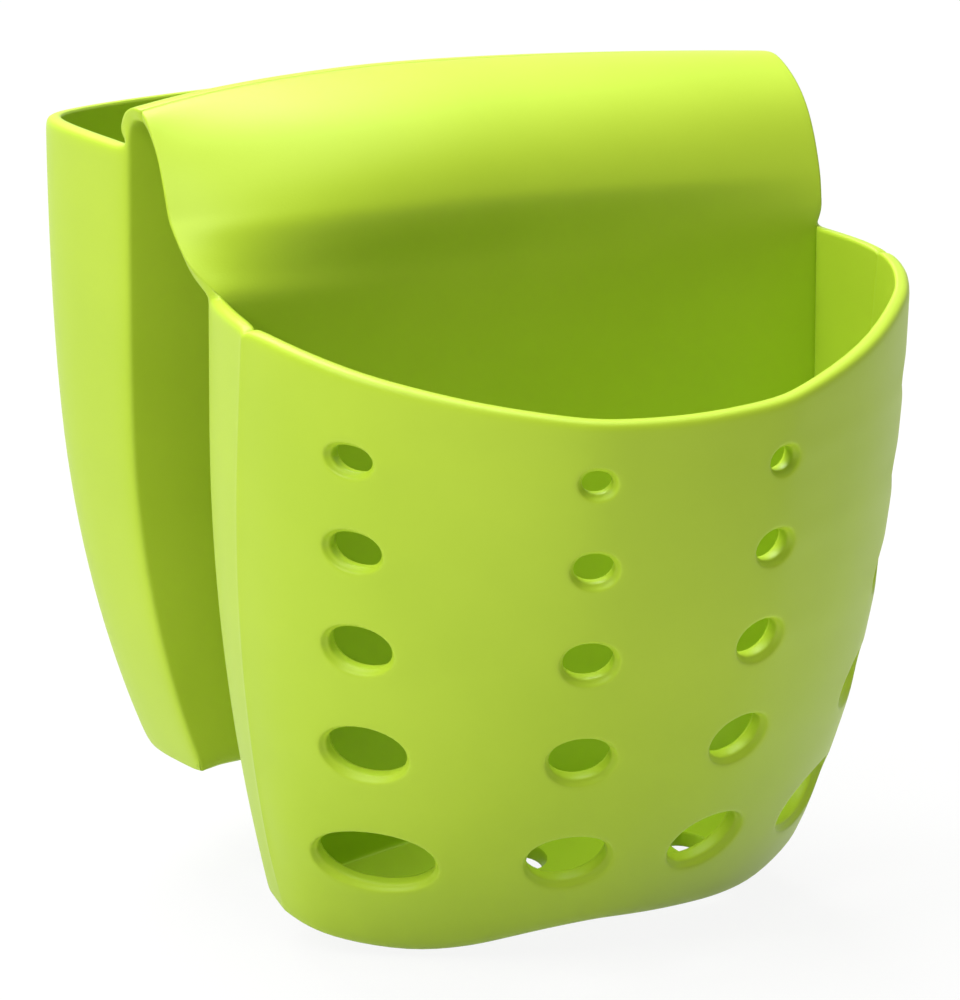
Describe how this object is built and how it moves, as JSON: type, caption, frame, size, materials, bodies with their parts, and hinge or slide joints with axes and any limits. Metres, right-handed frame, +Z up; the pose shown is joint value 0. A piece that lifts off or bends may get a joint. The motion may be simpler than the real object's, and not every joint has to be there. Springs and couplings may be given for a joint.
{
  "type": "saddle sponge holder",
  "caption": "Soft plastic sponge holder that saddles a sink divider: a perforated open front pocket and a plain rear pocket joined by a springy folded strap.",
  "frame": {"origin": "middle of the divider slot, level with the lower end of the saddle strap, where a full-width divider's top edge comes to", "axes": "+Z up, -Y towards the perforated front pocket, +X along the divider"},
  "size_m": [0.1256, 0.1622, 0.1434],
  "materials": {
    "lime_plastic": "satin soft-touch moulding, lime green"
  },
  "bodies": {
    "saddle": {"saddle_crown": "lime_plastic", "rear_fold": "lime_plastic"},
    "front": {"front_strap": "lime_plastic", "front_panel": "lime_plastic", "front_wall": "lime_plastic", "front_floor": "lime_plastic"},
    "rear": {"rear_panel": "lime_plastic", "rear_wall": "lime_plastic", "rear_floor": "lime_plastic"}
  },
  "joints": [
    {"name": "front_flex", "type": "hinge", "parent": "saddle", "child": "front", "pos_m": [0, -0.01117, 0.01456], "axis": [-1, 0, 0], "range_deg": [-5, 60], "stiffness_Nm_per_rad": 0.3, "springref_deg": 4.48},
    {"name": "rear_flex", "type": "hinge", "parent": "saddle", "child": "rear", "pos_m": [0, 0.01685, 0.02361], "axis": [1, 0, 0], "range_deg": [-5, 60], "stiffness_Nm_per_rad": 0.3, "springref_deg": 4}
  ]
}
